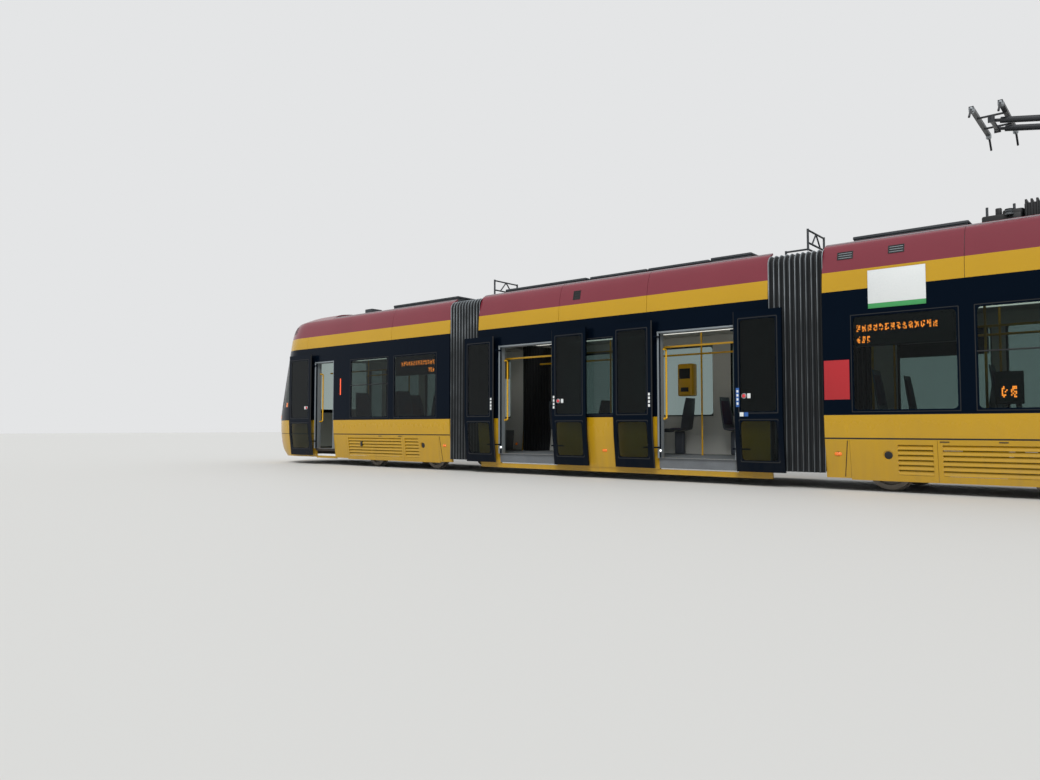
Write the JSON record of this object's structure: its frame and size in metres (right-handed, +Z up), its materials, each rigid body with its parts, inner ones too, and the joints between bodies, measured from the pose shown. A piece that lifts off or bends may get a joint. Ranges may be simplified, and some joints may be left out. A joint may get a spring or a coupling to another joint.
{
  "type": "articulated low-floor tram",
  "caption": "Articulated low-floor city tram with a single cab, sections hinged at bellows gangways, powered bogies under the ends, plug doors open on one side and a raised pantograph.",
  "frame": {"origin": "midway along the tram on its centre line, level with the lowest point of the wheel flanges", "axes": "+X towards the driving cab, +Y to the side without doors, +Z up"},
  "size_m": [20.32, 2.92, 5.0718],
  "materials": {
    "yellow_paint": "gloss",
    "red_paint": "gloss",
    "black_paint": "gloss",
    "tinted_glass": "polished",
    "bellows_rubber": "matt",
    "frame_grey": "satin",
    "wheel_steel": "worn",
    "seat_fabric": "woven",
    "rail_yellow": "satin",
    "lamp_lens": "clear",
    "equipment_grey": "satin",
    "cab_grey": "moulded",
    "black_plastic": "moulded",
    "floor_vinyl": "satin"
  },
  "bodies": {
    "middle": {"front_bellows": "bellows_rubber", "rear_bellows": "bellows_rubber", "middle_floor": "floor_vinyl", "middle_lower_walls": "yellow_paint", "middle_upper_walls": "black_paint", "middle_roof": "red_paint", "middle_roof_equipment": "equipment_grey", "middle_door_leaves": "black_paint", "middle_glazing": "tinted_glass", "middle_seats": "seat_fabric", "middle_handrails": "rail_yellow"},
    "front": {"front_lower_walls": "yellow_paint", "front_skirt_hatches": "yellow_paint", "front_bumper": "yellow_paint", "front_upper_walls": "black_paint", "front_nose_mask": "black_paint", "front_roof": "red_paint", "front_door_leaf": "black_paint", "front_glazing": "tinted_glass", "front_underframe": "frame_grey", "front_seats": "seat_fabric", "front_handrails": "rail_yellow", "front_lamps": "lamp_lens", "front_roof_equipment": "equipment_grey", "front_windscreen": "tinted_glass", "front_podiums": "floor_vinyl", "front_cab_partition": "cab_grey", "front_cab_desk": "cab_grey", "front_driver_seat": "seat_fabric", "front_mirrors": "black_plastic", "pantograph_base": "equipment_grey"},
    "front_bogie": {"front_bogie_frame": "frame_grey"},
    "front_inner_axle": {"front_inner_wheelset": "wheel_steel"},
    "front_outer_axle": {"front_outer_wheelset": "wheel_steel"},
    "rear": {"rear_lower_walls": "yellow_paint", "rear_skirt_hatches": "yellow_paint", "rear_bumper": "yellow_paint", "rear_upper_walls": "black_paint", "rear_nose_mask": "black_paint", "rear_roof": "red_paint", "rear_door_leaf": "black_paint", "rear_glazing": "tinted_glass", "rear_underframe": "frame_grey", "rear_seats": "seat_fabric", "rear_handrails": "rail_yellow", "rear_lamps": "lamp_lens", "rear_roof_equipment": "equipment_grey", "rear_windscreen": "tinted_glass", "rear_podiums": "floor_vinyl"},
    "rear_bogie": {"rear_bogie_frame": "frame_grey"},
    "rear_inner_axle": {"rear_inner_wheelset": "wheel_steel"},
    "rear_outer_axle": {"rear_outer_wheelset": "wheel_steel"},
    "panto_lower": {"pantograph_lower_arm": "equipment_grey"},
    "panto_upper": {"pantograph_upper_arm": "equipment_grey"},
    "panto_rod": {"pantograph_thrust_rod": "equipment_grey"},
    "panto_head": {"pantograph_head": "equipment_grey"}
  },
  "joints": [
    {"name": "front_articulation", "type": "hinge", "parent": "middle", "child": "front", "pos_m": [3.27, 0, 0.3], "axis": [0, 0, 1], "range_deg": [-15, 15], "deforming": ["front_bellows"]},
    {"name": "front_bogie_swivel", "type": "hinge", "parent": "front", "child": "front_bogie", "pos_m": [5.355, 0, 0.45], "axis": [0, 0, 1], "range_deg": [-4, 4]},
    {"name": "front_inner_axle_spin", "type": "hinge", "parent": "front_bogie", "child": "front_inner_axle", "pos_m": [4.405, 0, 0.322], "axis": [0, 1, 0], "continuous": true},
    {"name": "front_outer_axle_spin", "type": "hinge", "parent": "front_bogie", "child": "front_outer_axle", "pos_m": [6.305, 0, 0.322], "axis": [0, 1, 0], "continuous": true},
    {"name": "rear_articulation", "type": "hinge", "parent": "middle", "child": "rear", "pos_m": [-3.27, 0, 0.3], "axis": [0, 0, 1], "range_deg": [-15, 15], "deforming": ["rear_bellows"]},
    {"name": "rear_bogie_swivel", "type": "hinge", "parent": "rear", "child": "rear_bogie", "pos_m": [-5.355, 0, 0.45], "axis": [0, 0, 1], "range_deg": [-4, 4]},
    {"name": "rear_inner_axle_spin", "type": "hinge", "parent": "rear_bogie", "child": "rear_inner_axle", "pos_m": [-4.405, 0, 0.322], "axis": [0, 1, 0], "continuous": true},
    {"name": "rear_outer_axle_spin", "type": "hinge", "parent": "rear_bogie", "child": "rear_outer_axle", "pos_m": [-6.305, 0, 0.322], "axis": [0, 1, 0], "continuous": true},
    {"name": "pantograph_raise", "type": "hinge", "parent": "front", "child": "panto_lower", "pos_m": [6.12, 0, 3.642], "axis": [0, -1, 0], "range_deg": [-11, 20]},
    {"name": "pantograph_knee", "type": "hinge", "parent": "panto_lower", "child": "panto_upper", "pos_m": [8.3, 0, 4.462], "axis": [0, -1, 0], "range_deg": [-40, 22]},
    {"name": "pantograph_head_tilt", "type": "hinge", "parent": "panto_upper", "child": "panto_head", "pos_m": [5.62, 0, 4.982], "axis": [0, -1, 0], "range_deg": [-11, 20]},
    {"name": "pantograph_rod_foot", "type": "hinge", "parent": "front", "child": "panto_rod", "pos_m": [6.5, 0, 3.542], "axis": [0, -1, 0], "range_deg": [-11, 20]}
  ],
  "couplings": [
    {"joint": "pantograph_knee", "follows": "pantograph_raise", "ratio": -2},
    {"joint": "pantograph_head_tilt", "follows": "pantograph_raise", "ratio": 1},
    {"joint": "pantograph_rod_foot", "follows": "pantograph_raise", "ratio": 1}
  ]
}
